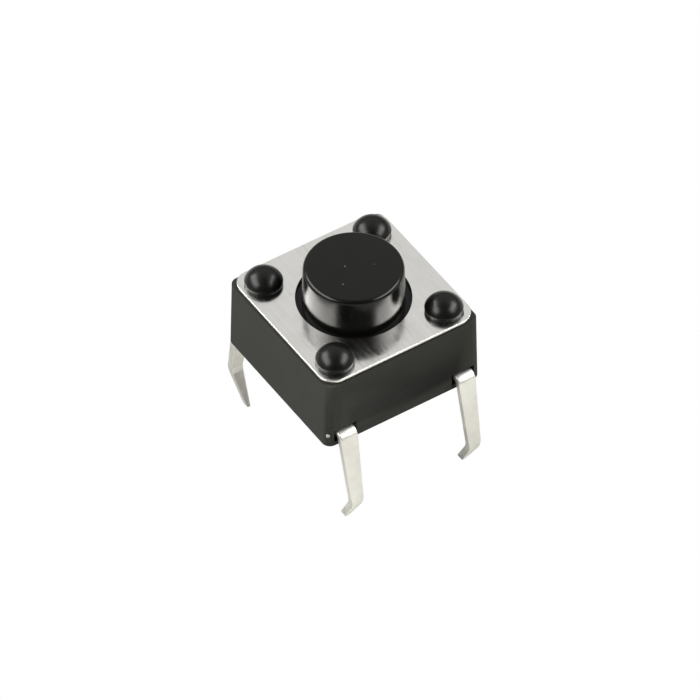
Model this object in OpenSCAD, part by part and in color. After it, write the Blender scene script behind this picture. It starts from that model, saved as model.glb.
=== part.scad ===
// Through-hole tactile push button switch with a round button and four formed leads.
// Millimetres, +Z up. The origin is the centre of the face that seats on the circuit board,
// and the leads leave the two X faces.

/* [Overall] */
// Width of the base at its top, across each pair of faces
body_w = 5.9; // [5.8:0.1:7.6]
// Height of the cover plate's top above the circuit board
body_h = 2.8; // [2.4:0.05:4]
// Height of the button above the cover plate
button_rise = 1.4; // [0.5:0.1:8]

/* [Base] */
// How much further out each wall stands at the board than at its top, for mould draft
draft = 0.05; // [0.02:0.01:0.2]
// Radius on the upright edges, at the top of the base
base_edge_r = 0.25; // [0.2:0.05:0.8]
// Height of the raised seat that holds the cover plate clear of the walls
seat_rise = 0.04; // [0.02:0.01:0.15]
// Distance from the cover plate's edge in to the raised seat's edge
seat_inset = 0.12; // [0.05:0.01:0.2]
// Width of a lead notch beyond the lead, on the side near the middle of the face
notch_inner_gap = 0.12; // [0.05:0.01:0.4]
// Width of a lead notch beyond the lead, on the side near the corner
notch_outer_gap = 0.1; // [0.03:0.01:0.1]
// Height of a lead notch above the lead
notch_top_gap = 0.08; // [0.03:0.01:0.3]
// Height of the sill that a lead notch leaves at the foot of the wall
notch_sill = 0.17; // [0.1:0.01:0.19]
// Depth of a lead notch, measured in from the wall's foot
notch_depth = 0.25; // [0.15:0.01:0.35]

/* [Staked posts] */
// Diameter of a post where it passes through the cover plate
post_d = 0.85; // [0.7:0.05:1]
// Diameter of a post's domed head
post_head_d = 1.3; // [1.15:0.05:1.4]
// Height of a post's domed head
post_head_h = 0.6; // [0.3:0.02:0.8]
// Height of the straight side of a post's head, below its dome
post_side_h = 0.15; // [0.02:0.02:0.2]
// Distance from the cover plate's edge to a post's centre
post_inset = 0.79; // [0.7:0.01:0.85]

/* [Cover plate] */
// Thickness of the cover plate
plate_t = 0.12; // [0.1:0.01:0.4]
// Distance from the base's top edge in to the cover plate's edge
plate_inset = 0.05; // [0.03:0.005:0.15]
// Radius on the cover plate's corners
plate_corner_r = 0.55; // [0.3:0.05:0.7]
// Gap between a post and its hole in the cover plate
post_gap = 0.05; // [0.02:0.01:0.1]

/* [Button] */
// Diameter of the button where it meets its flange
button_d = 3.4; // [2.8:0.1:4.2]
// How much further out the button's wall stands at its flange than at its top, for mould draft
button_draft = 0.05; // [0.02:0.01:0.15]
// Fillet round the button's top edge
button_fillet = 0.15; // [0.05:0.05:0.4]
// Gap between the button and its hole in the cover plate
button_gap = 0.2; // [0.05:0.01:0.3]
// How far the button's flange reaches under the cover plate
flange_lip = 0.17; // [0.1:0.01:0.2]
// Thickness of the button's flange
flange_t = 0.9; // [0.4:0.05:0.95]
// Gap between the flange and the cover plate with the button up
flange_gap = 0.03; // [0.01:0.01:0.05]
// Diameter of the nub that presses on the snap dome
nub_d = 1.3; // [0.8:0.1:1.8]
// Gap between the nub and the snap dome with the button up
nub_gap = 0.02; // [0.01:0.01:0.05]

/* [Snap dome] */
// Gap between the button's flange and the wall of the cavity
cavity_gap = 0.13; // [0.05:0.01:0.15]
// Gap between the snap dome's rim and the wall of the cavity
dome_gap = 0.3; // [0.1:0.01:0.4]
// Height of the snap dome's arch
dome_h = 0.33; // [0.28:0.01:0.4]
// Thickness of the snap dome
dome_t = 0.07; // [0.05:0.01:0.1]

/* [Leads] */
// Distance between the two leads on one face, centre to centre
lead_pitch = 4.6; // [3.7:0.05:4.7]
// Width of a lead where it leaves the base
lead_w = 0.65; // [0.5:0.05:0.85]
// Width of a lead at its knee
knee_w = 0.46; // [0.4:0.02:0.6]
// Width of a lead at its tip
tip_w = 0.12; // [0.1:0.02:0.4]
// Thickness of the lead metal
lead_t = 0.25; // [0.15:0.01:0.3]
// Height of a lead's underside above the board, where it leaves the base
lead_z = 0.3; // [0.2:0.05:0.4]
// Inside radius of the bend at the base
bend_r = 0.05; // [0.03:0.01:0.1]
// How far inside the foot of the wall the bend starts
bend_inset = 0.03; // [0.01:0.01:0.04]
// Distance from the foot of the wall out to a lead's knee
knee_out = 0.65; // [0.4:0.05:0.8]
// Distance of a lead's knee below the board face
knee_drop = 2.3; // [1.8:0.05:2.6]
// Inside radius of a lead's knee
knee_r = 0.45; // [0.2:0.05:0.8]
// Distance from the foot of the wall out to a lead's tip; below zero is inwards
tip_out = -0.05; // [-0.2:0.05:0.3]
// Length of a lead below the board face
lead_drop = 3.5; // [3.5:0.1:5]

/* [Contacts] */
// Height that the contact pads stand above the strips they are pressed from
pad_rise = 0.2; // [0.1:0.05:0.25]
// Diameter of the centre pad
centre_pad_d = 1.0; // [0.7:0.1:1.2]
// Width of the tongue that carries the centre pad
tongue_w = 0.7; // [0.5:0.05:0.9]
// Width of the arms and rim pads under the snap dome's rim
arm_w = 0.5; // [0.4:0.05:0.55]
// Length of a rim pad
rim_pad_l = 0.8; // [0.5:0.1:1.2]

/* [Hidden] */
$fn = 72;

// Small overrun that carries a cut past the face it opens
over = 0.1;
// Steps along each bend of a lead
bend_steps = 8;

// Overall stack, from the board up
base_top_z = body_h - plate_t;
wall_top_z = base_top_z - seat_rise;
strip_top_z = lead_z + lead_t;
floor_z = strip_top_z + pad_rise;
crown_z = floor_z + dome_h + dome_t;
flange_top_z = base_top_z - flange_gap;
flange_bottom_z = flange_top_z - flange_t;
button_top_z = body_h + button_rise;

// Widths that follow the body
foot_half = body_w / 2 + draft;
plate_w = body_w - 2 * plate_inset;
seat_w = plate_w - 2 * seat_inset;
post_at = plate_w / 2 - post_inset;

// Round fits, from the button out
hole_d = button_d + 2 * button_gap;
flange_d = hole_d + 2 * flange_lip;
cavity_d = flange_d + 2 * cavity_gap;
dome_d = cavity_d - 2 * dome_gap;
dome_sphere_r = (pow(dome_d / 2, 2) + pow(dome_h, 2)) / (2 * dome_h);
cap_h = post_head_h - post_side_h;
head_sphere_r = (pow(post_head_d / 2, 2) + pow(cap_h, 2)) / (2 * cap_h);

// Lean of the button's wall, and the centre of its top fillet, tangent to that wall and to the top
button_lean = atan(button_draft / (button_top_z - flange_top_z));
fillet_c = [(button_d / 2) - (button_fillet + (button_top_z - button_fillet - flange_top_z) * sin(button_lean))
    / cos(button_lean), button_top_z - button_fillet];
fillet_start = fillet_c + button_fillet * [cos(button_lean), sin(button_lean)];

// Centreline of a lead: bend centre, knee, tip and the slopes between them
lead_y = lead_pitch / 2;
bend_mid_r = bend_r + lead_t / 2;
knee_mid_r = knee_r + lead_t / 2;
bend_c = [foot_half - bend_inset, lead_z - bend_r];
knee_p = [foot_half + knee_out, -knee_drop];
tip_p = [foot_half + tip_out, -lead_drop];
to_knee = knee_p - bend_c;
upper_slope = atan2(to_knee[1], to_knee[0]) + acos(bend_mid_r / norm(to_knee));
lower_slope = atan2(knee_p[0] - tip_p[0], knee_p[1] - tip_p[1]);
knee_run = knee_mid_r * tan((upper_slope + lower_slope) / 2);
knee_start = knee_p - knee_run * [sin(upper_slope), -cos(upper_slope)];
knee_c = knee_start - knee_mid_r * [cos(upper_slope), sin(upper_slope)];
tip_half_t = lead_t / 2 / cos(lower_slope);

// Middle of the dome's rim, where the arms and rim pads lie
rim_x = dome_d / 2 - arm_w / 4;

// Points along an arc about c, from angle a to angle b
function arc(c, r, a, b) = [for (i = [0:bend_steps]) let (t = a + (b - a) * i / bend_steps)
    c + r * [cos(t), sin(t)]];

// Square with rounded corners, about the origin
module rounded_square(w, r) {
    square([w, w - 2 * r], center = true);
    square([w - 2 * r, w], center = true);
    for (x = [-1, 1], y = [-1, 1])
        translate([x * (w / 2 - r), y * (w / 2 - r)]) circle(r);
}

// Repeats its child on the four posts
module at_posts() {
    for (x = [-1, 1], y = [-1, 1])
        translate([x * post_at, y * post_at, 0]) children();
}

// One drafted slab: full width along X, straight along Y between the corner cones
module drafted_slab() {
    corner_at = body_w / 2 - base_edge_r;
    translate([0, corner_at, 0]) rotate([90, 0, 0]) linear_extrude(2 * corner_at)
        polygon([[-foot_half, 0], [foot_half, 0], [body_w / 2, wall_top_z], [-body_w / 2, wall_top_z]]);
}

// Drafted block with rounded upright edges
module drafted_block() {
    corner_at = body_w / 2 - base_edge_r;
    drafted_slab();
    rotate([0, 0, 90]) drafted_slab();
    for (x = [-1, 1], y = [-1, 1])
        translate([x * corner_at, y * corner_at, 0])
            cylinder(h = wall_top_z, r1 = base_edge_r + draft, r2 = base_edge_r);
}

// Post with its heat-formed domed head, standing on the raised seat
module staked_post() {
    rotate_extrude() {
        translate([0, base_top_z - over]) square([post_d / 2, over + plate_t + post_side_h + cap_h / 2]);
        translate([0, body_h]) square([post_head_d / 2, post_side_h]);
        translate([0, body_h + post_head_h - head_sphere_r]) intersection() {
            circle(head_sphere_r);
            translate([0, head_sphere_r - cap_h]) square([post_head_d / 2, cap_h]);
        }
    }
}

// Side view of one lead with its half of the embedded strip, in X and Z
module lead_side() {
    polygon(concat(
        [[0, lead_z], [0, strip_top_z]],
        arc(bend_c, bend_mid_r + lead_t / 2, 90, upper_slope),
        arc(knee_c, knee_mid_r + lead_t / 2, upper_slope, -lower_slope),
        [tip_p + [tip_half_t, 0], tip_p - [tip_half_t, 0]],
        arc(knee_c, knee_mid_r - lead_t / 2, -lower_slope, upper_slope),
        arc(bend_c, bend_mid_r - lead_t / 2, upper_slope, 90)));
}

// Face view of one lead, in Y and Z, tapering to its tip
module lead_face() {
    polygon([[-lead_w / 2, strip_top_z], [-lead_w / 2, 0], [-knee_w / 2, -knee_drop], [-tip_w / 2, -lead_drop],
        [tip_w / 2, -lead_drop], [knee_w / 2, -knee_drop], [lead_w / 2, 0], [lead_w / 2, strip_top_z]]);
}

// One lead on the +X face, centred on Y
module lead() {
    intersection() {
        translate([0, lead_w / 2, 0]) rotate([90, 0, 0]) linear_extrude(lead_w) lead_side();
        rotate([90, 0, 90]) linear_extrude(knee_p[0] + lead_t) lead_face();
    }
}

// Embedded strip with a lead at each end
module lead_pair() {
    lead();
    mirror([1, 0, 0]) lead();
}

// Metal of the terminal whose pads carry the snap dome's rim
module rim_terminal_metal() {
    arm_end = -rim_pad_l / 2;
    translate([0, lead_y, 0]) lead_pair();
    for (x = [-1, 1]) {
        translate([x * rim_x - arm_w / 2, arm_end, lead_z]) cube([arm_w, lead_y - arm_end, lead_t]);
        translate([x * rim_x - arm_w / 2, arm_end, lead_z]) cube([arm_w, rim_pad_l, lead_t + pad_rise]);
    }
}

// Metal of the terminal whose tongue ends in the centre pad
module centre_terminal_metal() {
    translate([0, -lead_y, 0]) lead_pair();
    translate([-tongue_w / 2, -lead_y, lead_z]) cube([tongue_w, lead_y, lead_t]);
    translate([0, 0, lead_z]) cylinder(h = lead_t + pad_rise, d = centre_pad_d);
}

// Blind notch that the lead leaves the wall through; the lead bends down clear of its sill
module lead_notch() {
    width = notch_inner_gap + lead_w + notch_outer_gap;
    translate([foot_half - notch_depth, lead_y - lead_w / 2 - notch_inner_gap, notch_sill])
        cube([notch_depth + over, width, strip_top_z + notch_top_gap - notch_sill]);
}

// Moulded base with its cavity, plate seat, posts and lead notches
module base_housing() {
    color([0.16, 0.16, 0.16]) difference() {
        union() {
            drafted_block();
            linear_extrude(base_top_z) rounded_square(seat_w, plate_corner_r);
            at_posts() staked_post();
        }
        translate([0, 0, floor_z]) cylinder(h = body_h, d = cavity_d);
        for (x = [0, 1], y = [0, 1])
            mirror([x, 0, 0]) mirror([0, y, 0]) lead_notch();
        rim_terminal_metal();
        centre_terminal_metal();
    }
}

// Stamped cover plate, held down by the staked posts
module cover_plate() {
    color([0.80, 0.79, 0.76]) difference() {
        translate([0, 0, base_top_z]) linear_extrude(plate_t) rounded_square(plate_w, plate_corner_r);
        translate([0, 0, base_top_z - over]) cylinder(h = plate_t + 2 * over, d = hole_d);
        at_posts() translate([0, 0, base_top_z - over])
            cylinder(h = plate_t + 2 * over, d = post_d + 2 * post_gap);
    }
}

// Round button with its retaining flange and the nub that presses the dome
module button() {
    color([0.12, 0.12, 0.12]) rotate_extrude() {
        translate([0, crown_z + nub_gap]) square([nub_d / 2, flange_t]);
        translate([0, flange_bottom_z]) square([flange_d / 2, flange_t]);
        polygon([[0, flange_bottom_z], [button_d / 2, flange_bottom_z], [button_d / 2, flange_top_z],
            fillet_start, fillet_c, [fillet_c[0], button_top_z], [0, button_top_z]]);
        translate(fillet_c) circle(button_fillet);
    }
}

// Snap dome: a thin sprung disc, arched up from its rim
module snap_dome() {
    color([0.75, 0.74, 0.70]) translate([0, 0, floor_z + dome_h - dome_sphere_r]) rotate_extrude()
        intersection() {
            difference() {
                circle(dome_sphere_r + dome_t);
                circle(dome_sphere_r);
            }
            translate([0, dome_sphere_r - dome_h]) square([dome_d / 2, dome_h + dome_t]);
        }
}

// Terminal under the dome's rim, with two leads
module rim_terminal() {
    color([0.86, 0.86, 0.84]) rim_terminal_metal();
}

// Terminal under the dome's crown, with two leads
module centre_terminal() {
    color([0.86, 0.86, 0.84]) centre_terminal_metal();
}

base_housing();
cover_plate();
button();
snap_dome();
rim_terminal();
centre_terminal();
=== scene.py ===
"""Looks of a through-hole tactile push button switch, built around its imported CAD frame.

Pieces are modelled in millimetres with bmesh operators and scaled to metres when they are finished,
so every finished object sits at the origin with its place in its mesh.
"""

import logging
import math
from dataclasses import dataclass
from enum import Enum

import bmesh
import bpy
from mathutils import Matrix, Vector


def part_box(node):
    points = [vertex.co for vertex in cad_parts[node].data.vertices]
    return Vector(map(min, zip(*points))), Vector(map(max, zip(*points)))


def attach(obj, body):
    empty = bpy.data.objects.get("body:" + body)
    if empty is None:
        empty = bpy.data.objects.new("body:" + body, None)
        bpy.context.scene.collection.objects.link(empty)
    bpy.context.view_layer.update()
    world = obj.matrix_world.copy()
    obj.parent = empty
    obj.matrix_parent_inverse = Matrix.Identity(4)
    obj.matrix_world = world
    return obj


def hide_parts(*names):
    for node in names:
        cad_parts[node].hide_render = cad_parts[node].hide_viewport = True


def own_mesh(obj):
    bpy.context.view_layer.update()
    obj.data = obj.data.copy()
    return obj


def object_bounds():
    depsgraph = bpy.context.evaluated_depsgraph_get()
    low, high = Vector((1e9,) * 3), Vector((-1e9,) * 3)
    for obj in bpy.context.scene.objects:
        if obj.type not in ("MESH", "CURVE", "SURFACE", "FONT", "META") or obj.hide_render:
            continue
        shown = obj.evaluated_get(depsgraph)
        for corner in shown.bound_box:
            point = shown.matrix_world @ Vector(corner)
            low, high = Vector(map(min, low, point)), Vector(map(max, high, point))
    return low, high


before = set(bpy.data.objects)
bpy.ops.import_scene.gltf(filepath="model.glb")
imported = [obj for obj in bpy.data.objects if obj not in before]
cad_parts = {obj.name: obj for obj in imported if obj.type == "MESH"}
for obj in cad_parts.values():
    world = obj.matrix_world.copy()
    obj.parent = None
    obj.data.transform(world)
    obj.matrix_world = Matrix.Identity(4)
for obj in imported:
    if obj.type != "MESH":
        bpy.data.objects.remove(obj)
CAD_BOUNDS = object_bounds()

LOG = logging.getLogger("tactile_switch")

MM = 0.001  # metres in a millimetre
WELD = 1e-5  # corners nearer than this are merged
PAST = 0.2  # how far a cutter runs past the face that it opens, in millimetres
POST_AT = 2.11  # X and Y of the posts, in millimetres
CORNER_STEPS = 12  # facets on a slab's upright edges
OUTLINE_STEPS = 8  # facets on each round of a turned outline
EDGE_STEPS = 3  # facets on a broken edge
SHADING_WEIGHT = 80  # how far large faces lead the shading, where 50 is not at all
NOISE_SPAN = (0.3, 0.7)  # the part of its range that a noise value mostly keeps to
MIX_COLOURS = (0, 6, 7)  # places of a Mix node's factor and of its two colours
MIX_RESULT = 2  # place of its mixed colour

BMesh = bmesh.types.BMesh
Socket = bpy.types.NodeSocket
Profile = list[tuple[float, float]]
Shades = tuple[float, float, float]


class Body(Enum):
    """The CAD bodies that pieces ride on."""

    SWITCH = "switch_body"
    PLUNGER = "plunger"


class Slot(Enum):
    """The record's material slots."""

    BASE = "base_plastic"
    COVER = "cover_steel"
    BUTTON = "button_plastic"
    DOME = "dome_steel"
    LEADS = "lead_plating"


class Combine(Enum):
    """How one solid is combined with another."""

    JOIN = "UNION"
    CUT = "DIFFERENCE"


# ---- Modelling tools ----


def node_box(node: str) -> tuple[Vector, Vector]:
    """Corners of a CAD node at rest.

    Args:
        node: Name of the CAD node.

    Returns:
        Its lowest and highest corners, in millimetres.
    """
    low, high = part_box(node)
    return low / MM, high / MM


def solid_from(name: str, mesh: BMesh) -> bpy.types.Object:
    """Turns a bmesh into a linked object and frees the bmesh.

    Args:
        name: Name of the object.
        mesh: The shape, in millimetres.

    Returns:
        The new object, still in millimetres.
    """
    bmesh.ops.remove_doubles(mesh, verts=mesh.verts, dist=WELD)
    bmesh.ops.recalc_face_normals(mesh, faces=mesh.faces)
    data = bpy.data.meshes.new(name)
    mesh.to_mesh(data)
    mesh.free()
    piece = bpy.data.objects.new(name, data)
    bpy.context.scene.collection.objects.link(piece)
    return piece


def combine(piece: bpy.types.Object, tool: bpy.types.Object, how: Combine, keep_tool: bool = False) -> None:
    """Joins a tool to a piece, or cuts the piece with it.

    Args:
        piece: The object that changes.
        tool: The object it is joined to or cut with.
        how: Whether to join or cut.
        keep_tool: Leaves the tool in the scene.
    """
    step = piece.modifiers.new("combine", "BOOLEAN")
    step.operation = how.value
    step.solver = "EXACT"
    step.object = tool
    graph = bpy.context.evaluated_depsgraph_get()
    made = bpy.data.meshes.new_from_object(piece.evaluated_get(graph))
    piece.modifiers.remove(step)
    piece.data = made
    if not keep_tool:
        bpy.data.objects.remove(tool)


def block(low: Vector, high: Vector) -> BMesh:
    """Box between two corners.

    Args:
        low: Lowest corner.
        high: Highest corner.

    Returns:
        A bmesh holding the box.
    """
    mesh = bmesh.new()
    place = Matrix.Translation((low + high) / 2) @ Matrix.Diagonal((*(high - low), 1.0))
    bmesh.ops.create_cube(mesh, size=1.0, matrix=place)
    return mesh


def round_off(mesh: BMesh, parts: list[bmesh.types.BMVert] | list[bmesh.types.BMEdge],
              radius: float, steps: int, affect: str = "VERTICES") -> None:
    """Rounds the corners of a section or outline, or the edges of a solid.

    Args:
        mesh: The shape.
        parts: The corners or edges.
        radius: How far back each round starts.
        steps: Facets in each round.
        affect: Whether it is VERTICES or EDGES that are rounded.
    """
    bmesh.ops.bevel(
        mesh, geom=parts, offset=radius, offset_type="OFFSET", segments=steps,
        profile=0.5, affect=affect, material=-1,
    )


def turn_fully(mesh: BMesh, steps: int) -> None:
    """Turns an outline once about the Z axis and merges what meets.

    Args:
        mesh: The outline, which becomes a surface.
        steps: Number of steps in the full turn.
    """
    bmesh.ops.spin(
        mesh, geom=list(mesh.verts) + list(mesh.edges), cent=(0, 0, 0), axis=(0, 0, 1),
        angle=math.tau, steps=steps, use_merge=True,
    )
    bmesh.ops.remove_doubles(mesh, verts=mesh.verts, dist=WELD)
    bmesh.ops.dissolve_degenerate(mesh, dist=WELD, edges=mesh.edges)


def cap_outline(mesh: BMesh, rim: float, rise: float, top_z: float, steps: int) -> None:
    """Draws the outline of a ball's cap, from its crown on the Z axis to its rim.

    Args:
        mesh: The empty bmesh that it is drawn in.
        rim: Radius of the rim.
        rise: Height of the crown above the rim.
        top_z: Height of the crown.
        steps: Number of steps from the crown to the rim.
    """
    ball = (rim ** 2 + rise ** 2) / (2 * rise)
    crown = mesh.verts.new((0.0, 0.0, top_z))
    bmesh.ops.spin(
        mesh, geom=[crown], cent=(0, 0, top_z - ball), axis=(0, 1, 0),
        angle=math.acos((ball - rise) / ball), steps=steps,
    )


def four_posts() -> list[tuple[float, float]]:
    """X and Y of each of the four posts."""
    return [(x, y) for x in (-POST_AT, POST_AT) for y in (-POST_AT, POST_AT)]


def coat(piece: bpy.types.Object, *finishes: bpy.types.Material) -> None:
    """Gives a piece its materials in place of any that it has.

    Args:
        piece: The piece.
        *finishes: The materials, in the order of their slots.
    """
    piece.data.materials.clear()
    for finish in finishes:
        piece.data.materials.append(finish)


def rounded_slab(width: float, low_z: float, high_z: float, corner: float,
                 inward: float = 0.0) -> BMesh:
    """Square slab about the Z axis, with rounded upright edges.

    Args:
        width: Width at the lower face.
        low_z: Height of the lower face.
        high_z: Height of the upper face.
        corner: Radius on the upright edges.
        inward: How far each wall leans in at the top.

    Returns:
        A bmesh holding the slab.
    """
    half = width / 2
    mesh = block(Vector((-half, -half, low_z)), Vector((half, half, high_z)))
    top = [v for v in mesh.verts if v.co.z > (low_z + high_z) / 2]
    share = (half - inward) / half
    bmesh.ops.scale(mesh, verts=top, vec=(share, share, 1.0))
    upright = [e for e in mesh.edges if abs(e.verts[0].co.z - e.verts[1].co.z) > (high_z - low_z) / 2]
    round_off(mesh, upright, corner, CORNER_STEPS, affect="EDGES")
    return mesh


def barrel(radius: float, low_z: float, high_z: float, at: tuple[float, float] = (0.0, 0.0),
           sides: int = 96) -> BMesh:
    """Upright cylinder.

    Args:
        radius: Radius.
        low_z: Height of its foot.
        high_z: Height of its top.
        at: X and Y of its axis.
        sides: Number of sides.

    Returns:
        A bmesh holding the cylinder.
    """
    mesh = bmesh.new()
    place = Matrix.Translation((at[0], at[1], (low_z + high_z) / 2))
    bmesh.ops.create_cone(
        mesh, cap_ends=True, segments=sides, radius1=radius, radius2=radius,
        depth=high_z - low_z, matrix=place,
    )
    return mesh


def turned(outline: Profile, rounds: dict[int, float], steps: int = 128) -> BMesh:
    """Turns an outline about the Z axis, as on a lathe.

    Args:
        outline: Radius and height of each corner, starting and ending on the axis.
        rounds: Radius of the round at each corner that has one, by its place in the outline.
        steps: Number of steps in the full turn.

    Returns:
        A bmesh holding the turned solid.
    """
    mesh = bmesh.new()
    corners = [mesh.verts.new((radius, 0.0, height)) for radius, height in outline]
    for first, second in zip(corners, corners[1:]):
        mesh.edges.new((first, second))
    for place, radius in rounds.items():
        round_off(mesh, [corners[place]], radius, OUTLINE_STEPS)
    turn_fully(mesh, steps)
    return mesh


def finished(piece: bpy.types.Object, body: Body, stands_for: str, edge: float = 0.0,
             crease: float = 35.0, rounded_to: float = math.inf) -> bpy.types.Object:
    """Scales a piece to metres, rounds its edges, shades it and ties it to the frame.

    Args:
        piece: The piece, in millimetres.
        body: The body that it rides on.
        stands_for: The CAD node that it replaces.
        edge: Radius broken on every sharp edge, in millimetres.
        crease: Angle in degrees from which an edge counts as sharp.
        rounded_to: Height in millimetres above which edges are left sharp.

    Returns:
        The same piece.
    """
    rounded = piece.vertex_groups.new(name="rounded")
    rounded.add([v.index for v in piece.data.vertices if v.co.z < rounded_to], 1.0, "REPLACE")
    piece.data.transform(Matrix.Scale(MM, 4))
    mesh = bmesh.new()
    mesh.from_mesh(piece.data)
    sharp = math.radians(crease)
    for face in mesh.faces:
        face.smooth = True
    for line in mesh.edges:
        breaks = edge > 0 and all(v.co.z < rounded_to * MM for v in line.verts)
        line.smooth = breaks or line.calc_face_angle(0.0) < sharp
    mesh.to_mesh(piece.data)
    mesh.free()
    if edge > 0:
        rounding = piece.modifiers.new("broken_edges", "BEVEL")
        rounding.width = edge * MM
        rounding.segments = EDGE_STEPS
        rounding.limit_method = "ANGLE"
        rounding.angle_limit = sharp
        rounding.vertex_group = rounded.name
        shading = piece.modifiers.new("even_shading", "WEIGHTED_NORMAL")
        shading.keep_sharp = True
        shading.weight = SHADING_WEIGHT
    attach(piece, body.value)
    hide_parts(stands_for)
    LOG.info("%s rides on %s and stands for %s", piece.name, body.value, stands_for)
    return piece


# ---- Finishes ----


class Shader:
    """One node tree, with short ways to add nodes and links."""

    def __init__(self, tree: bpy.types.NodeTree) -> None:
        """Takes the tree and empties it."""
        self.tree = tree
        self.tree.nodes.clear()

    def add(self, kind: str, values: dict[str | int, object] | None = None,
            **settings: object) -> bpy.types.Node:
        """Adds one node.

        Args:
            kind: Blender's name for the node type.
            values: Values or source sockets for the node's inputs, by name or place.
            **settings: The node's own properties.

        Returns:
            The new node.
        """
        made = self.tree.nodes.new(kind)
        for name, value in settings.items():
            setattr(made, name, value)
        self.feed(made, values or {})
        return made

    def feed(self, node: bpy.types.Node, values: dict[str | int, object]) -> None:
        """Sets or links a node's inputs.

        Args:
            node: The node.
            values: Values or source sockets for its inputs, by name or place.
        """
        for name, value in values.items():
            if isinstance(value, Socket):
                self.tree.links.new(value, node.inputs[name])
            else:
                node.inputs[name].default_value = value

    def maths(self, operation: str, first: object, second: object = 0.0,
              clamp: bool = False) -> Socket:
        """Result of a Math node.

        Args:
            operation: The Math node's operation.
            first: First value or socket.
            second: Second value or socket.
            clamp: Keeps the result from 0 to 1.

        Returns:
            The result socket.
        """
        values = {0: first, 1: second}
        return self.add("ShaderNodeMath", values, operation=operation, use_clamp=clamp).outputs[0]

    def mixed(self, amount: object, first: object, second: object) -> Socket:
        """Colour between two colours.

        Args:
            amount: Share of the second colour.
            first: First colour or socket.
            second: Second colour or socket.

        Returns:
            The colour socket.
        """
        values = dict(zip(MIX_COLOURS, (amount, first, second)))
        return self.add("ShaderNodeMix", values, data_type="RGBA", clamp_factor=True).outputs[MIX_RESULT]

    def brightened(self, colour: object, share: object) -> Socket:
        """Colour multiplied by a number.

        Args:
            colour: Colour socket.
            share: What it is multiplied by.

        Returns:
            The colour socket.
        """
        return self.add("ShaderNodeVectorMath", {0: colour, "Scale": share}, operation="SCALE").outputs[0]

    def ranged(self, value: object, low: float, high: float, to_low: object = 0.0, to_high: object = 1.0,
               smooth: bool = False) -> Socket:
        """Value moved from one range to another.

        Args:
            value: Value or socket.
            low: Lower end of the range it comes from.
            high: Upper end of the range it comes from.
            to_low: Lower end of the range it goes to.
            to_high: Upper end of the range it goes to.
            smooth: Eases in and out.

        Returns:
            The result socket.
        """
        kind = "SMOOTHSTEP" if smooth else "LINEAR"
        node = self.add(
            "ShaderNodeMapRange", {0: value, 1: low, 2: high, 3: to_low, 4: to_high},
            interpolation_type=kind, clamp=True,
        )
        return node.outputs[0]

    def spread(self, noise: Socket, low: float, high: float) -> Socket:
        """Noise spread over a range.

        Args:
            noise: Noise value.
            low: Lower end of the range.
            high: Upper end of the range.

        Returns:
            The result socket.
        """
        return self.ranged(noise, *NOISE_SPAN, low, high)

    def noise(self, vector: Socket, scale: object, detail: float = 3.0) -> Socket:
        """Noise value over a vector.

        Args:
            vector: Where the noise is read.
            scale: Cells per unit.
            detail: Octaves.

        Returns:
            The value socket.
        """
        return self.add("ShaderNodeTexNoise", {"Vector": vector, "Scale": scale, "Detail": detail}).outputs[0]


def shade(colour: Shades) -> tuple[float, float, float, float]:
    """Colour with full alpha."""
    return (*colour, 1.0)


def effect_group(name: str, inputs: dict[str, object]) -> tuple[Shader, bpy.types.Node, bpy.types.Node]:
    """Starts a shader node group that reads millimetres and puts out a colour, a roughness and a height.

    Args:
        name: Name of the group.
        inputs: Each input's name and first value: a colour if it is a tuple, and otherwise a number.

    Returns:
        The group's shader, its input node and its output node.
    """
    tree = bpy.data.node_groups.new(name, "ShaderNodeTree")
    for label, value in {"Position": Vector(), **inputs}.items():
        kind = {tuple: "NodeSocketColor", Vector: "NodeSocketVector"}.get(type(value), "NodeSocketFloat")
        socket = tree.interface.new_socket(label, in_out="INPUT", socket_type=kind)
        socket.default_value = value
    for label, kind in (("Color", "Color"), ("Roughness", "Float"), ("Height", "Float")):
        tree.interface.new_socket(label, in_out="OUTPUT", socket_type=f"NodeSocket{kind}")
    shader = Shader(tree)
    return shader, shader.add("NodeGroupInput"), shader.add("NodeGroupOutput")


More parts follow.
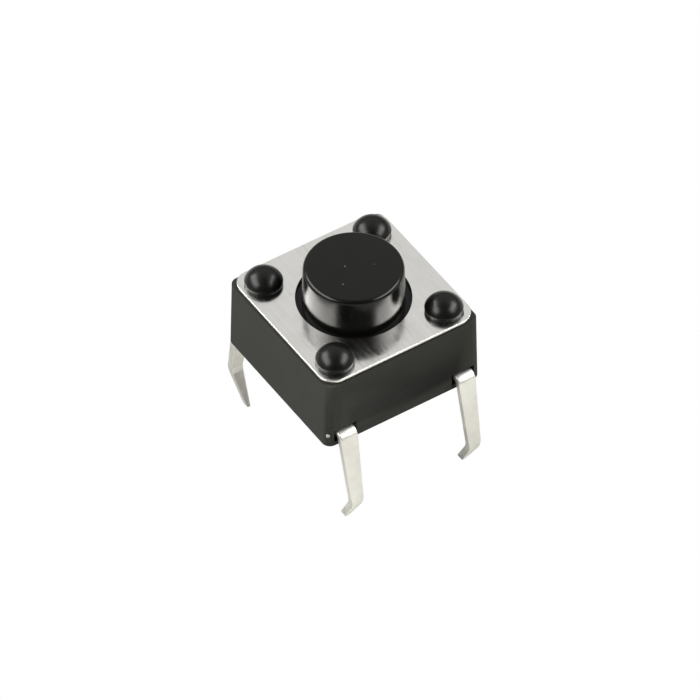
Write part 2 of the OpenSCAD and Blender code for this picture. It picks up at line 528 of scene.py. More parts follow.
def moulded_group() -> bpy.types.NodeTree:
    """Moulded plastic: faint flow shading, a fine moulded grain and sparse pale dust on upward faces.

    Returns:
        The node group.
    """
    flow_scale, mottle_scale, grain_scale, fleck_scale, patch_scale = 0.7, 7.0, 34.0, 2.1, 1.3
    mottle_tone, mottle_rough = 0.04, 0.03
    fleck_core, fleck_rim = 0.055, 0.105
    patch_edge, patch_full = 0.46, 0.56
    upward_edge, upward_full = 0.8, 0.98
    dust_rough, dust_height = 0.3, 2.0
    shader, given, out = effect_group("moulded_plastic", {
        "Color": shade((0.02, 0.02, 0.02)), "Dust Color": shade((0.2, 0.2, 0.19)), "Dust": 0.5,
        "Roughness": 0.4, "Flow": 0.15, "Grain": 1.0,
    })
    place = given.outputs["Position"]
    flow = shader.noise(place, flow_scale, 2.0)
    mottle = shader.noise(place, mottle_scale, 4.0)
    grain = shader.noise(place, grain_scale, 3.0)
    swing = shader.maths("MULTIPLY", shader.maths("SUBTRACT", flow, 0.5), given.outputs["Flow"])
    swing = shader.maths("ADD", swing, shader.spread(mottle, -mottle_tone, mottle_tone))
    tone = shader.brightened(given.outputs["Color"], shader.maths("ADD", swing, 1.0))
    flecks = shader.add("ShaderNodeTexVoronoi", {"Vector": place, "Scale": fleck_scale, "Randomness": 1.0})
    small = shader.ranged(flecks.outputs["Distance"], fleck_core, fleck_rim, 1.0, 0.0, smooth=True)
    sparse = shader.ranged(shader.noise(place, patch_scale, 1.0), patch_edge, patch_full)
    facing = shader.add("ShaderNodeSeparateXYZ", {0: shader.add("ShaderNodeNewGeometry").outputs["Normal"]})
    upward = shader.ranged(facing.outputs[2], upward_edge, upward_full)
    dust = shader.maths("MULTIPLY", shader.maths("MULTIPLY", small, sparse), upward)
    dust = shader.maths("MULTIPLY", dust, given.outputs["Dust"], clamp=True)
    colour = shader.mixed(dust, tone, given.outputs["Dust Color"])
    rough = shader.maths("ADD", given.outputs["Roughness"], shader.spread(mottle, -mottle_rough, mottle_rough))
    rough = shader.maths("ADD", rough, shader.maths("MULTIPLY", dust, dust_rough))
    raised = shader.maths("ADD", grain, shader.maths("MULTIPLY", dust, dust_height))
    height = shader.maths("MULTIPLY", raised, given.outputs["Grain"])
    shader.feed(out, {"Color": colour, "Roughness": rough, "Height": height})
    return shader.tree


def drawn_metal_group() -> bpy.types.NodeTree:
    """Rolled or plated sheet: grain along one axis, a few longer scratches and soft clouding.

    Returns:
        The node group.
    """
    coarse_share, cloud_scale, cloud_edge, cloud_full = 0.23, 1.6, 0.35, 0.68
    scratch_along, scratch_across, scratch_level, scratch_half_width = 0.45, 9.0, 0.64, 0.012
    grain_tone, coarse_tone, streak_tone, scratch_tone = 0.5, 0.4, 0.09, 0.22
    smooth_rough, coarse_rough, cloud_rough = -0.06, 0.08, 0.08
    shader, given, out = effect_group("drawn_metal", {
        "Color": shade((0.7, 0.7, 0.68)), "Cloud Color": shade((0.6, 0.6, 0.6)), "Roughness": 0.3,
        "Grain": 1.0, "Scratches": 1.0, "Clouding": 0.5, "Along": 0.1, "Across": 20.0,
    })
    place = given.outputs["Position"]
    parts = shader.add("ShaderNodeSeparateXYZ", {0: place})
    along = shader.maths("MULTIPLY", parts.outputs[0], given.outputs["Along"])
    across = shader.maths("MULTIPLY", parts.outputs[1], given.outputs["Across"])
    upright = shader.maths("MULTIPLY", parts.outputs[2], given.outputs["Across"])
    drawn = shader.add("ShaderNodeCombineXYZ", {0: along, 1: across, 2: upright}).outputs[0]
    grain = shader.noise(drawn, 1.0, 5.0)
    coarse = shader.noise(drawn, coarse_share, 2.0)
    lines = shader.noise(shader.add("ShaderNodeCombineXYZ", {
        0: shader.maths("MULTIPLY", parts.outputs[0], scratch_along),
        1: shader.maths("MULTIPLY", parts.outputs[1], scratch_across),
        2: shader.maths("MULTIPLY", parts.outputs[2], scratch_across),
    }).outputs[0], 1.0, 1.0)
    beside = shader.maths("ABSOLUTE", shader.maths("SUBTRACT", lines, scratch_level))
    thin = shader.ranged(beside, 0.0, scratch_half_width, 1.0, 0.0)
    scratch = shader.maths("MULTIPLY", thin, given.outputs["Scratches"], clamp=True)
    cloud = shader.ranged(shader.noise(place, cloud_scale, 3.0), cloud_edge, cloud_full, smooth=True)
    cloud = shader.maths("MULTIPLY", cloud, given.outputs["Clouding"], clamp=True)
    base = shader.mixed(cloud, given.outputs["Color"], given.outputs["Cloud Color"])
    streak = shader.maths("ADD", shader.spread(grain, -grain_tone, grain_tone),
                          shader.spread(coarse, -coarse_tone, coarse_tone))
    streak = shader.maths("MULTIPLY", streak, shader.maths("MULTIPLY", given.outputs["Grain"], streak_tone))
    bright = shader.maths("SUBTRACT", shader.maths("ADD", streak, 1.0),
                          shader.maths("MULTIPLY", scratch, scratch_tone))
    uneven = shader.maths("MULTIPLY", shader.spread(grain, smooth_rough, coarse_rough), given.outputs["Grain"])
    rough = shader.maths("ADD", given.outputs["Roughness"], uneven)
    rough = shader.maths("ADD", rough, shader.maths("MULTIPLY", cloud, cloud_rough))
    height = shader.maths("MULTIPLY", shader.maths("ADD", grain, coarse), given.outputs["Grain"])
    height = shader.maths("SUBTRACT", height, scratch)
    shader.feed(out, {"Color": shader.brightened(base, bright), "Roughness": rough, "Height": height})
    return shader.tree


@dataclass(frozen=True)
class Finish:
    """A surface finish: one shared effect with its own values, feeding one Principled shader."""

    name: str
    effect: str
    values: dict[str, object]
    bump: float
    bump_depth: float
    metallic: float = 0.0
    specular: float = 0.5

    def material(self) -> bpy.types.Material:
        """Builds the material.

        Returns:
            The material, read in millimetres on each piece's own coordinates.
        """
        made = bpy.data.materials.new(self.name)
        made.use_nodes = True
        shader = Shader(made.node_tree)
        place = shader.add("ShaderNodeTexCoord").outputs["Object"]
        scaled = shader.add("ShaderNodeMapping", {"Vector": place, "Scale": (1 / MM, 1 / MM, 1 / MM)})
        effect = shader.add("ShaderNodeGroup", node_tree=bpy.data.node_groups[self.effect])
        shader.feed(effect, {"Position": scaled.outputs[0], **self.values})
        bump = shader.add("ShaderNodeBump", {
            "Strength": self.bump, "Distance": self.bump_depth * MM, "Height": effect.outputs["Height"],
        })
        surface = shader.add("ShaderNodeBsdfPrincipled", {
            "Base Color": effect.outputs["Color"], "Roughness": effect.outputs["Roughness"],
            "Normal": bump.outputs[0], "Metallic": self.metallic, "Specular IOR Level": self.specular,
        })
        shader.add("ShaderNodeOutputMaterial", {"Surface": surface.outputs[0]})
        return made


HOUSING_PLASTIC = Finish(
    name="housing_plastic", effect="moulded_plastic", specular=0.25, bump=0.25, bump_depth=0.006,
    values={"Color": shade((0.026, 0.0265, 0.0225)), "Dust": 0.2, "Roughness": 0.75, "Flow": 0.3, "Grain": 1.0},
)
STAKED_PLASTIC = Finish(
    name="staked_plastic", effect="moulded_plastic", specular=0.29, bump=0.2, bump_depth=0.006,
    values={"Color": shade((0.004, 0.0042, 0.003)), "Dust": 0.15, "Roughness": 0.3, "Flow": 0.4, "Grain": 0.6},
)
BUTTON_PLASTIC = Finish(
    name="button_plastic", effect="moulded_plastic", specular=0.27, bump=0.12, bump_depth=0.005,
    values={"Color": shade((0.0036, 0.0037, 0.0026)), "Dust": 0.8, "Dust Color": shade((0.09, 0.10, 0.07)),
            "Roughness": 0.22, "Flow": 0.5, "Grain": 0.7},
)
COVER_STEEL = Finish(
    name="cover_steel", effect="drawn_metal", metallic=1.0, bump=0.18, bump_depth=0.004,
    values={"Color": shade((0.95, 0.935, 0.90)), "Cloud Color": shade((0.89, 0.885, 0.83)), "Roughness": 0.15,
            "Grain": 0.6, "Scratches": 0.8, "Clouding": 0.6, "Along": 0.2, "Across": 9.0},
)
SPRING_STEEL = Finish(
    name="spring_steel", effect="drawn_metal", metallic=1.0, bump=0.1, bump_depth=0.003,
    values={"Color": shade((0.62, 0.61, 0.57)), "Roughness": 0.2, "Grain": 0.6, "Scratches": 0.3,
            "Clouding": 0.3, "Along": 0.4, "Across": 14.0},
)
# The gate nub's pale grey is a painted highlight on the nub, not the plastic's own colour.
GATE_PAINTED_HIGHLIGHT = Finish(
    name="gate_painted_highlight", effect="moulded_plastic", specular=0.4, bump=0.3, bump_depth=0.006,
    values={"Color": shade((0.33, 0.33, 0.31)), "Dust": 0.0, "Roughness": 0.5, "Flow": 0.2, "Grain": 1.0},
)
LEAD_PLATING = Finish(
    name="lead_plating", effect="drawn_metal", metallic=1.0, bump=0.25, bump_depth=0.008,
    values={"Color": shade((0.94, 0.935, 0.87)), "Cloud Color": shade((0.89, 0.85, 0.82)), "Roughness": 0.36,
            "Grain": 0.5, "Scratches": 0.5, "Clouding": 0.9, "Along": 1.2, "Across": 5.0},
)
SHEARED_EDGE = Finish(
    name="sheared_edge", effect="drawn_metal", metallic=1.0, bump=0.35, bump_depth=0.008,
    values={"Color": shade((0.70, 0.69, 0.66)), "Cloud Color": shade((0.58, 0.57, 0.56)), "Roughness": 0.5,
            "Grain": 1.0, "Scratches": 0.6, "Clouding": 0.8, "Along": 6.0, "Across": 1.5},
)


# ---- Pieces ----


@dataclass
class Terminal:
    """One embedded strip with its contact pads and a formed lead at each end."""

    name: str
    node: str
    side: float
    lead_y: float = 2.3
    width: float = 0.65
    knee_width: float = 0.46
    tip_width: float = 0.12
    thickness: float = 0.25
    strip_z: float = 0.3
    bend_radius: float = 0.05
    bend_x: float = 2.97
    knee_inside: float = 0.45
    knee_z: float = -2.3
    knee_half_row: float = 3.65
    tip_half_row: float = 2.95
    sheared_edge: float = 0.045
    pad_rise: float = 0.2
    arm_width: float = 0.5
    rim_x: float = 1.775
    tongue_width: float = 0.7
    rim_pad_length: float = 0.8
    centre_pad: float = 1.0
    pad_inset: float = 0.01
    section_steps: int = 3
    bend_steps: int = 10
    knee_steps: int = 12
    sheared_facing: float = 0.8
    crease: float = 40.0

    @property
    def tip_z(self) -> float:
        """Height of the leads' tips."""
        return node_box(self.node)[0].z

    @property
    def bend_middle(self) -> float:
        """Radius of the bend at the housing, to the middle of the sheet."""
        return self.bend_radius + self.thickness / 2

    @property
    def knee_middle(self) -> float:
        """Radius of the knee, to the middle of the sheet."""
        return self.knee_inside + self.thickness / 2

    def knee_path(self) -> tuple[float, float, Vector, Vector]:
        """Slopes and centres of a lead's two bends.

        Returns:
            The outward slope down to the knee and the inward slope below it, from straight down, in
            radians, then the centres of the bend at the housing and of the knee.
        """
        bend = Vector((self.bend_x, 0.0, self.strip_z - self.bend_radius))
        knee = Vector((self.knee_half_row, 0.0, self.knee_z))
        run = knee - bend
        upper = math.atan2(run.z, run.x) + math.acos(self.bend_middle / run.length)
        lower = math.atan2(self.knee_half_row - self.tip_half_row, self.knee_z - self.tip_z)
        back = self.knee_middle * math.tan((upper + lower) / 2)
        start = knee - back * Vector((math.sin(upper), 0.0, -math.cos(upper)))
        centre = start - self.knee_middle * Vector((math.cos(upper), 0.0, math.sin(upper)))
        return upper, lower, bend, centre

    def half_strip(self) -> BMesh:
        """Sweeps the sheet's section from the middle of the strip out to one tip.

        Returns:
            A bmesh holding one half of the strip, open at the middle.
        """
        upper, lower, bend, knee = self.knee_path()
        mesh = bmesh.new()
        half = self.width / 2
        corners = [
            mesh.verts.new((0.0, y, z))
            for y, z in ((-half, self.strip_z), (half, self.strip_z),
                         (half, self.strip_z + self.thickness), (-half, self.strip_z + self.thickness))
        ]
        for pair in zip(corners, corners[1:] + corners[:1]):
            mesh.edges.new(pair)
        round_off(mesh, corners, self.sheared_edge, self.section_steps)

        def pulled(edges: list[bmesh.types.BMEdge], run: Vector) -> list[bmesh.types.BMEdge]:
            """Pulls the open section straight along a run and returns its new end."""
            grown = bmesh.ops.extrude_edge_only(mesh, edges=edges)["geom"]
            moved = [g for g in grown if isinstance(g, bmesh.types.BMVert)]
            bmesh.ops.translate(mesh, verts=moved, vec=run)
            return [g for g in grown if isinstance(g, bmesh.types.BMEdge)
                    and all(v in moved for v in g.verts)]

        def bent(edges: list[bmesh.types.BMEdge], centre: Vector, angle: float,
                 steps: int) -> list[bmesh.types.BMEdge]:
            """Bends the open section about a centre and returns its new end."""
            geom = list({v for e in edges for v in e.verts}) + edges
            turn = bmesh.ops.spin(mesh, geom=geom, cent=centre, axis=(0, 1, 0), angle=angle, steps=steps)
            return [g for g in turn["geom_last"] if isinstance(g, bmesh.types.BMEdge)]

        outward = Vector((math.cos(upper), 0.0, math.sin(upper)))
        end = pulled(list(mesh.edges), Vector((self.bend_x, 0.0, 0.0)))
        end = bent(end, bend, math.pi / 2 - upper, self.bend_steps)
        end = pulled(end, (knee + self.knee_middle * outward) - (bend + self.bend_middle * outward))
        end = bent(end, knee, upper + lower, self.knee_steps)
        after = knee + self.knee_middle * Vector((math.cos(lower), 0.0, -math.sin(lower)))
        reach = (after.z - self.tip_z) / math.cos(lower) + self.thickness
        pulled(end, reach * Vector((-math.sin(lower), 0.0, -math.cos(lower))))
        cut = bmesh.ops.bisect_plane(
            mesh, geom=list(mesh.verts) + list(mesh.edges) + list(mesh.faces),
            plane_co=(0, 0, self.tip_z), plane_no=(0, 0, -1), clear_outer=True,
        )
        rim = [g for g in cut["geom_cut"] if isinstance(g, bmesh.types.BMEdge)]
        bmesh.ops.edgeloop_fill(mesh, edges=rim)
        return mesh

    def tapered(self, mesh: BMesh) -> None:
        """Narrows a lead towards its knee and tip.

        Args:
            mesh: The lead, centred on Y.
        """
        tip_z, knee = self.tip_z, self.knee_width / self.width
        for corner in mesh.verts:
            height = corner.co.z
            if height >= 0:
                share = 1.0
            elif height >= self.knee_z:
                share = 1.0 + (knee - 1.0) * height / self.knee_z
            else:
                low = (height - self.knee_z) / (tip_z - self.knee_z)
                share = knee + (self.tip_width / self.width - knee) * low
            corner.co.y *= share

    def pads(self) -> list[bpy.types.Object]:
        """The arms, tongue and raised pads that reach under the snap dome.

        Returns:
            Solids to be joined to the strip.
        """
        low, high = self.strip_z + self.pad_inset, self.strip_z + self.thickness - self.pad_inset
        floor = self.strip_z + self.thickness + self.pad_rise
        if self.side < 0:
            half = self.tongue_width / 2
            tongue = block(Vector((-half, -self.lead_y, low)), Vector((half, 0.0, high)))
            pad = barrel(self.centre_pad / 2, low, floor)
            return [solid_from("tongue", tongue), solid_from("centre_pad", pad)]
        made = []
        for x in (-self.rim_x, self.rim_x):
            near, far = x - self.arm_width / 2, x + self.arm_width / 2
            end = -self.rim_pad_length / 2
            arm = block(Vector((near, end, low)), Vector((far, self.lead_y, high)))
            pad = block(Vector((near, end, low)), Vector((far, -end, floor)))
            made += [solid_from("arm", arm), solid_from("rim_pad", pad)]
        return made

    def build(self) -> bpy.types.Object:
        """Builds the whole terminal.

        Returns:
            The terminal, in millimetres.
        """
        mesh = self.half_strip()
        self.tapered(mesh)
        bmesh.ops.mirror(mesh, geom=list(mesh.verts) + list(mesh.edges) + list(mesh.faces),
                         axis="X", merge_dist=WELD)
        bmesh.ops.remove_doubles(mesh, verts=mesh.verts, dist=WELD)
        bmesh.ops.translate(mesh, verts=mesh.verts, vec=(0.0, self.side * self.lead_y, 0.0))
        piece = solid_from(self.name, mesh)
        for part in self.pads():
            combine(piece, part, Combine.JOIN)
        return piece

    def dress(self, piece: bpy.types.Object, plating: bpy.types.Material, sheared: bpy.types.Material) -> None:
        """Gives the terminal its plating and its duller sheared edges, and ties it to the frame.

        Args:
            piece: The built terminal.
            plating: Finish of the rolled faces.
            sheared: Finish of the edges that the press tool cut.
        """
        coat(piece, plating, sheared)
        for face in piece.data.polygons:
            face.material_index = int(abs(face.normal.y) > self.sheared_facing)
        finished(piece, Body.SWITCH, self.node, crease=self.crease)


@dataclass
class Housing:
    """The moulded base, with its cavity, plate seat, lead notches and staked posts."""

    draft: float = 0.05
    corner: float = 0.3
    seat_rise: float = 0.04
    seat_inset: float = 0.12
    seat_corner: float = 0.35
    cavity_gap: float = 0.13
    floor_z: float = 0.75
    post_radius: float = 0.425
    head_radius: float = 0.65
    head_side: float = 0.15
    head_undercut: float = 0.05
    shoulder_round: float = 0.05
    crown_steps: int = 16
    shoulder_steps: int = 4
    head_steps: int = 64
    seat_root: float = 0.3
    cavity_top: float = 0.1
    notch_depth: float = 0.25
    notch_top: float = 0.63
    notch_inner: float = 1.855
    notch_outer: float = 2.725
    notch_sill: float = 0.17
    gate_radius: float = 0.07
    gate_angle: float = -46.0
    gate_height: float = 0.47
    gate_sunk: float = 0.02
    gate_margin: float = 1.05
    ejector_radius: float = 0.45
    ejector_depth: float = 0.03
    ejector_at: float = 1.2
    broken_edge: float = 0.035
    edge_stop: float = 0.02

    def head(self, x: float, y: float, plate_z: float, top_z: float) -> bpy.types.Object:
        """One staked post with its domed head.

        Args:
            x: X of the post.
            y: Y of the post.
            plate_z: Height of the cover plate's top.
            top_z: Height of the head's crown.

        Returns:
            The post and head as one solid.
        """
        low = node_box("cover_plate")[0].z - self.seat_rise
        mesh = bmesh.new()
        cap_outline(mesh, self.head_radius, top_z - plate_z - self.head_side, top_z, self.crown_steps)
        shoulder = max(mesh.verts, key=lambda v: v.co.x)
        outline = [shoulder]
        for radius, height in ((self.head_radius - self.head_undercut, plate_z), (self.post_radius, plate_z),
                               (self.post_radius, low), (0.0, low)):
            outline.append(mesh.verts.new((radius, 0.0, height)))
        for first, second in zip(outline, outline[1:]):
            mesh.edges.new((first, second))
        round_off(mesh, [shoulder], self.shoulder_round, self.shoulder_steps)
        turn_fully(mesh, self.head_steps)
        bmesh.ops.translate(mesh, verts=mesh.verts, vec=(x, y, 0.0))
        return solid_from("staked_head", mesh)

    def notches(self) -> list[bpy.types.Object]:
        """Cutters for the four notches that the leads bend down through.

        Returns:
            The cutters.
        """
        foot = node_box("base_housing")[1].x
        made = []
        for side_x in (-1, 1):
            for side_y in (-1, 1):
                xs = sorted((side_x * (foot - self.notch_depth), side_x * (foot + PAST)))
                ys = sorted((side_y * self.notch_inner, side_y * self.notch_outer))
                low, high = Vector((xs[0], ys[0], self.notch_sill)), Vector((xs[1], ys[1], self.notch_top))
                made.append(solid_from("notch", block(low, high)))
        return made

    def build(self, terminals: list[bpy.types.Object]) -> bpy.types.Object:
        """Builds the housing.

        Args:
            terminals: The terminals that it is moulded round.

        Returns:
            The housing, in millimetres.
        """
        low, high = node_box("base_housing")
        plate_low, plate_high = node_box("cover_plate")
        width = high.x - low.x
        wall_top = plate_low.z - self.seat_rise
        piece = solid_from("housing", rounded_slab(width, low.z, wall_top, self.corner, self.draft))
        seat_width = plate_high.x - plate_low.x - 2 * self.seat_inset
        seat = rounded_slab(seat_width, wall_top - self.seat_root, plate_low.z, self.seat_corner)
        combine(piece, solid_from("seat", seat), Combine.JOIN)
        for x, y in four_posts():
            combine(piece, self.head(x, y, plate_high.z, high.z), Combine.JOIN)
        flange = node_box("button")[1].x
        cavity = barrel(flange + self.cavity_gap, self.floor_z, plate_high.z - self.cavity_top)
        combine(piece, solid_from("cavity", cavity), Combine.CUT)
        for notch in self.notches():
            combine(piece, notch, Combine.CUT)
        for terminal in terminals:
            combine(piece, terminal, Combine.CUT, keep_tool=True)
        for side in (-1, 1):
            mark = barrel(self.ejector_radius, -PAST, self.ejector_depth, (0.0, side * self.ejector_at), 48)
            combine(piece, solid_from("ejector_mark", mark), Combine.CUT)
        combine(piece, self.gate(), Combine.JOIN)
        return piece

    def gate_spot(self) -> Vector:
        """Middle of the gate mark, on the rounded corner between the -Y and +X faces."""
        turn = math.radians(self.gate_angle)
        middle = node_box("base_housing")[1].x - self.corner
        reach = self.corner - self.gate_sunk
        return Vector((middle + reach * math.cos(turn), -middle + reach * math.sin(turn), self.gate_height))

    def gate(self) -> bpy.types.Object:
        """Small rounded nub left on one corner where the mould was filled.

        Returns:
            The nub.
        """
        mesh = bmesh.new()
        bmesh.ops.create_uvsphere(mesh, u_segments=20, v_segments=12, radius=self.gate_radius,
                                  matrix=Matrix.Translation(self.gate_spot()))
        return solid_from("gate", mesh)

    def dress(self, piece: bpy.types.Object, plastic: bpy.types.Material, staked: bpy.types.Material,
              gate: bpy.types.Material) -> None:
        """Gives the walls and heads their finishes, paints a pale highlight on the gate mark and ties the
        housing to the frame.

        Args:
            piece: The built housing.
            plastic: Finish of the moulded faces.
            staked: Finish of the heat-formed heads.
            gate: Finish of the gate mark, whose pale colour is a painted highlight.
        """
        coat(piece, plastic, staked, gate)
        plate_top = node_box("cover_plate")[1].z
        # The small faces of the gate nub get the pale painted highlight.
        spot, near = self.gate_spot(), self.gate_radius * self.gate_margin
        largest = self.gate_radius ** 2 / 8
        for face in piece.data.polygons:
            if face.center.z > plate_top - WELD:
                face.material_index = 1
            elif (face.center - spot).length < near and face.area < largest:
                face.material_index = 2
            else:
                face.material_index = 0
        finished(piece, Body.SWITCH, "base_housing", edge=self.broken_edge,
                 rounded_to=plate_top - self.edge_stop)


@dataclass
class CoverPlate:
    """The stamped steel plate under the staked heads."""

    corner: float = 0.55
    hole_radius: float = 1.9
    post_hole: float = 0.475
    rolled_edge: float = 0.02

    def build(self) -> bpy.types.Object:
        """Builds the plate.

        Returns:
            The plate, in millimetres.
        """
        low, high = node_box("cover_plate")
        piece = solid_from("plate", rounded_slab(high.x - low.x, low.z, high.z, self.corner))
        foot, top = low.z - PAST, high.z + PAST
        holes = [barrel(self.hole_radius, foot, top, sides=128)]
        holes += [barrel(self.post_hole, foot, top, post, 48) for post in four_posts()]
        for hole in holes:
            combine(piece, solid_from("hole", hole), Combine.CUT)
        return piece

    def dress(self, piece: bpy.types.Object, steel: bpy.types.Material) -> None:
        """Gives the plate its finish and ties it to the frame.

        Args:
            piece: The built plate.
            steel: Its finish.
        """
        coat(piece, steel)
        finished(piece, Body.SWITCH, "cover_plate", edge=self.rolled_edge)


@dataclass
class Button:
    """The round button, with its retaining flange and the nub over the dome."""

    radius: float = 1.7
    draft: float = 0.05
    top_round: float = 0.15
    flange_gap: float = 0.03
    flange_thickness: float = 0.9
    nub_radius: float = 0.65
    small_round: float = 0.06

    def build(self) -> bpy.types.Object:
        """Builds the button.

        Returns:
            The button, in millimetres.
        """
        low, high = node_box("button")
        flange = high.x
        flange_top = node_box("cover_plate")[0].z - self.flange_gap
        flange_low = flange_top - self.flange_thickness
        outline = [
            (0.0, low.z), (self.nub_radius, low.z), (self.nub_radius, flange_low), (flange, flange_low),
            (flange, flange_top), (self.radius, flange_top), (self.radius - self.draft, high.z),
            (0.0, high.z),
        ]
        rounds = {1: self.small_round, 3: self.small_round, 4: self.small_round, 6: self.top_round}
        return solid_from("push_button", turned(outline, rounds))

    def dress(self, piece: bpy.types.Object, plastic: bpy.types.Material) -> None:
        """Gives the button its finish and ties it to the frame.

        Args:
            piece: The built button.
            plastic: Its finish.
        """
        coat(piece, plastic)
        finished(piece, Body.PLUNGER, "button")


@dataclass
class SnapDome:
    """The sprung disc that the button presses flat."""

    thickness: float = 0.07
    rings: int = 14
    sides: int = 96
    pressed_share: float = 0.38

    def build(self) -> bpy.types.Object:
        """Builds the dome.

        Returns:
            The dome, in millimetres.
        """
        low, high = node_box("snap_dome")
        rise = high.z - low.z - self.thickness
        mesh = bmesh.new()
        cap_outline(mesh, high.x, rise, low.z + rise, self.rings)
        turn_fully(mesh, self.sides)
        bmesh.ops.recalc_face_normals(mesh, faces=mesh.faces)
        crown_face = max(mesh.faces, key=lambda f: f.calc_center_median().z)
        if crown_face.normal.z > 0:
            bmesh.ops.reverse_faces(mesh, faces=mesh.faces)
        bmesh.ops.solidify(mesh, geom=list(mesh.faces), thickness=self.thickness)
        return solid_from("dome_spring", mesh)

    def dress(self, piece: bpy.types.Object, steel: bpy.types.Material) -> None:
        """Gives the dome its finish, ties it to the frame and gives it a mesh of its own.

        Args:
            piece: The built dome.
            steel: Its finish.
        """
        coat(piece, steel)
        finished(piece, Body.SWITCH, "snap_dome")
        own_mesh(piece)


# ---- Studio ----


def direction(azimuth: float, elevation: float) -> Vector:
    """Unit vector from the switch towards a place round it.

    Args:
        azimuth: Degrees round the Z axis, 0 at -Y and 90 at +X.
        elevation: Degrees above the board's plane.

    Returns:
        The vector.
    """
    turn, lift = math.radians(azimuth), math.radians(elevation)
    return Vector((math.sin(turn) * math.cos(lift), -math.cos(turn) * math.cos(lift), math.sin(lift)))


@dataclass(frozen=True)
class Softbox:
    """A soft rectangular lamp that faces the switch."""

    name: str
    azimuth: float
    elevation: float
    distance: float
    width: float
    height: float
    radiance: float

    def place(self, centre: Vector) -> None:
        """Adds the lamp to the scene.

        Args:
            centre: The point it faces, in metres.
        """
        lamp = bpy.data.lights.new(self.name, "AREA")
        lamp.shape = "RECTANGLE"
        lamp.size, lamp.size_y = self.width, self.height
        lamp.energy = self.radiance * math.pi * self.width * self.height
        holder = bpy.data.objects.new(self.name, lamp)
        towards = direction(self.azimuth, self.elevation)
        holder.location = centre + towards * self.distance
        holder.rotation_euler = (-towards).to_track_quat("-Z", "Y").to_euler()
        bpy.context.scene.collection.objects.link(holder)


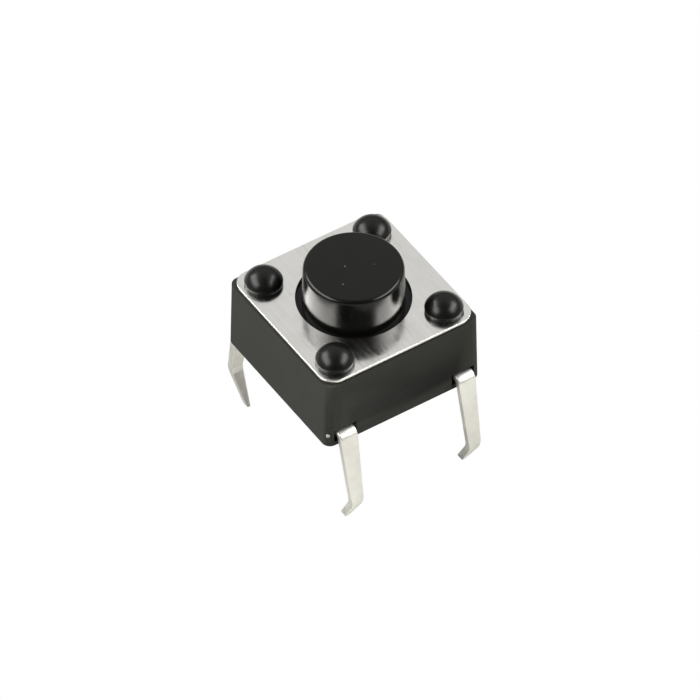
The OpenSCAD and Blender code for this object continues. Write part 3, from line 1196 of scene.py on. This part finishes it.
@dataclass(frozen=True)
class Studio:
    """The floor, lamps, surround and camera."""

    view_azimuth: float = 56.6
    view_elevation: float = 45.9
    view_distance: float = 0.2441
    lens: float = 385.5
    centre_z: float = 0.001694
    aim_right: float = -0.000119
    aim_up: float = -0.000962
    sensor: float = 36.0
    clip: tuple[float, float] = (0.01, 10.0)
    lamp_turn: float = 84.0
    lamp_lift: float = 40.0
    lamp_aim_z: float = 0.001
    floor_size: float = 3.0
    floor_glow: float = 0.1
    floor_roughness: float = 0.9
    floor_colour: Shades = (0.48, 0.48, 0.45)
    glow_colour: Shades = (1.0, 1.0, 0.94)
    white: Shades = (1.0, 1.0, 1.0)
    surround: float = 0.66
    horizon: float = 0.15
    overhead_lift: tuple[float, float] = (0.12, 0.6)
    shaded_share: float = 0.08
    shaded_drop: float = 6.0
    shaded_facing: tuple[float, float] = (0.35, 0.85)

    def lamps(self) -> list[Softbox]:
        """The lamps: a broad one at the viewer's left, a smaller one at the right."""
        left, right = self.view_azimuth - self.lamp_turn, self.view_azimuth + self.lamp_turn
        return [
            Softbox("left_softbox", left, self.lamp_lift, 0.30, width=0.42, height=0.15, radiance=7.5),
            Softbox("right_softbox", right, self.lamp_lift, 0.32, width=0.32, height=0.13, radiance=8.0),
        ]

    def build_floor(self) -> None:
        """Adds the pale floor at the lowest point of the leads."""
        mesh = bmesh.new()
        bmesh.ops.create_grid(mesh, x_segments=1, y_segments=1, size=self.floor_size / 2,
                              matrix=Matrix.Translation((0.0, 0.0, CAD_BOUNDS[0].z)))
        data = bpy.data.meshes.new("floor")
        mesh.to_mesh(data)
        mesh.free()
        floor = bpy.data.objects.new("floor", data)
        bpy.context.scene.collection.objects.link(floor)
        made = bpy.data.materials.new("pale_floor")
        made.use_nodes = True
        shader = Shader(made.node_tree)
        lit = shader.add("ShaderNodeBsdfPrincipled", {
            "Base Color": shade(self.floor_colour), "Roughness": self.floor_roughness,
            "Specular IOR Level": 0.0, "Emission Color": shade(self.glow_colour),
            "Emission Strength": self.floor_glow,
        })
        white = shader.add("ShaderNodeEmission", {"Color": shade(self.white), "Strength": 1.0})
        seen = shader.add("ShaderNodeLightPath").outputs["Is Camera Ray"]
        surface = shader.add("ShaderNodeMixShader", {0: seen, 1: lit.outputs[0], 2: white.outputs[0]})
        shader.add("ShaderNodeOutputMaterial", {"Surface": surface.outputs[0]})
        data.materials.append(made)

    def build_surround(self) -> None:
        """Adds the bright room, with a darker part on the viewer's side."""
        world = bpy.data.worlds.new("room")
        world.use_nodes = True
        bpy.context.scene.world = world
        shader = Shader(world.node_tree)
        look = shader.add("ShaderNodeTexCoord").outputs["Generated"]
        viewer = direction(self.view_azimuth, self.view_elevation - self.shaded_drop)
        facing = shader.add("ShaderNodeVectorMath", {0: look, 1: viewer}, operation="DOT_PRODUCT")
        lift = shader.add("ShaderNodeSeparateXYZ", {0: look}).outputs[2]
        overhead = shader.ranged(lift, *self.overhead_lift, self.horizon, self.surround, smooth=True)
        shaded = shader.ranged(facing.outputs["Value"], *self.shaded_facing, 1.0, self.shaded_share,
                               smooth=True)
        level = shader.maths("MULTIPLY", overhead, shaded)
        glow = shader.add("ShaderNodeBackground", {"Color": shade(self.white), "Strength": level})
        shader.add("ShaderNodeOutputWorld", {"Surface": glow.outputs[0]})

    def build_camera(self) -> None:
        """Adds the camera."""
        data = bpy.data.cameras.new("camera")
        data.lens = self.lens
        data.sensor_width = self.sensor
        data.clip_start, data.clip_end = self.clip
        camera = bpy.data.objects.new("camera", data)
        back = direction(self.view_azimuth, self.view_elevation)
        right = direction(self.view_azimuth + 90, 0.0)
        aim = Vector((0.0, 0.0, self.centre_z)) + right * self.aim_right + back.cross(right) * self.aim_up
        camera.location = aim + back * self.view_distance
        camera.rotation_euler = (-back).to_track_quat("-Z", "Y").to_euler()
        bpy.context.scene.collection.objects.link(camera)
        bpy.context.scene.camera = camera

    def build(self) -> None:
        """Builds the whole studio."""
        self.build_floor()
        self.build_surround()
        self.build_camera()
        for lamp in self.lamps():
            lamp.place(Vector((0.0, 0.0, self.lamp_aim_z)))
        settings = bpy.context.scene.view_settings
        settings.view_transform = "Standard"
        settings.look = "None"


def main() -> None:
    """Builds the switch, piece by piece, and the studio round it."""
    logging.basicConfig(level=logging.INFO, format="%(name)s: %(message)s")
    moulded_group()
    drawn_metal_group()
    plating, sheared = LEAD_PLATING.material(), SHEARED_EDGE.material()
    terminals = [Terminal("rim_leads", "rim_terminal", 1.0),
                 Terminal("centre_leads", "centre_terminal", -1.0)]
    strips = [terminal.build() for terminal in terminals]
    housing = Housing()
    housing.dress(housing.build(strips), HOUSING_PLASTIC.material(), STAKED_PLASTIC.material(),
                  GATE_PAINTED_HIGHLIGHT.material())
    for terminal, strip in zip(terminals, strips):
        terminal.dress(strip, plating, sheared)
    plate = CoverPlate()
    plate.dress(plate.build(), COVER_STEEL.material())
    button = Button()
    button.dress(button.build(), BUTTON_PLASTIC.material())
    dome = SnapDome()
    dome.dress(dome.build(), SPRING_STEEL.material())
    Studio().build()


if __name__ == "__main__":
    main()
